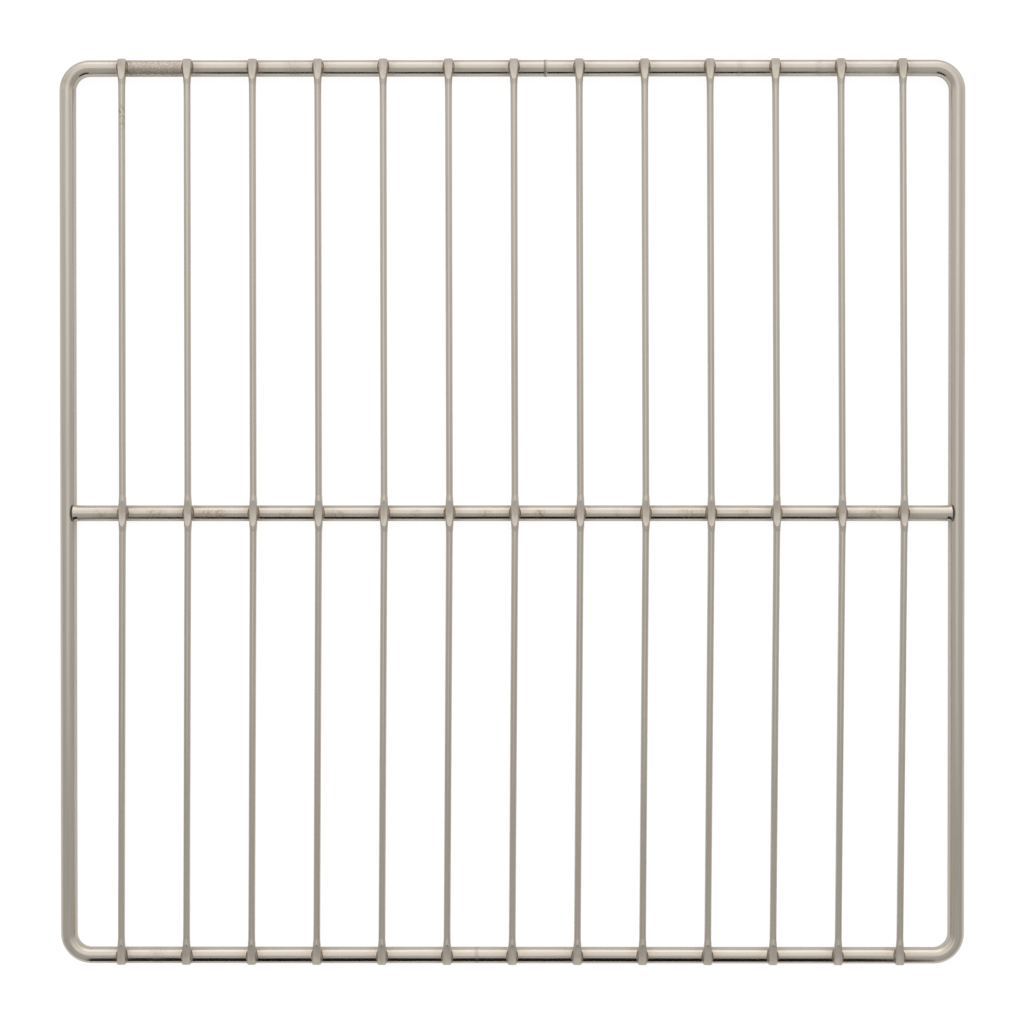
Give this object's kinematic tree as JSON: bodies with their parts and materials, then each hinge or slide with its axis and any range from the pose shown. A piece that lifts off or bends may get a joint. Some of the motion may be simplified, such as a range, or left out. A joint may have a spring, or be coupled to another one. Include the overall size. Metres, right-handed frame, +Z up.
{
  "type": "fryer wire rack",
  "caption": "Flat square rack of thin parallel wires spot welded across a bent rod ring and one middle rod.",
  "frame": {"origin": "middle of the ring, on the surface that the rack lies on", "axes": "+Z up through the flat rack, from its ring to its thin wires; +Y to the back side, along the thin wires; +X to the right, along the middle rod"},
  "size_m": [0.3524, 0.3522, 0.0085],
  "materials": {
    "thick_rod": "bright drawn steel wire, satin, with brown heat tint at the welds",
    "thin_wire": "bright drawn steel wire, satin, with brown heat tint at the welds"
  },
  "bodies": {
    "root": {"frame_ring": "thick_rod", "middle_rod": "thick_rod", "grid_wire_01": "thin_wire", "grid_wire_02": "thin_wire", "grid_wire_03": "thin_wire", "grid_wire_04": "thin_wire", "grid_wire_05": "thin_wire", "grid_wire_06": "thin_wire", "grid_wire_07": "thin_wire", "grid_wire_08": "thin_wire", "grid_wire_09": "thin_wire", "grid_wire_10": "thin_wire", "grid_wire_11": "thin_wire", "grid_wire_12": "thin_wire", "grid_wire_13": "thin_wire"}
  },
  "joints": []
}
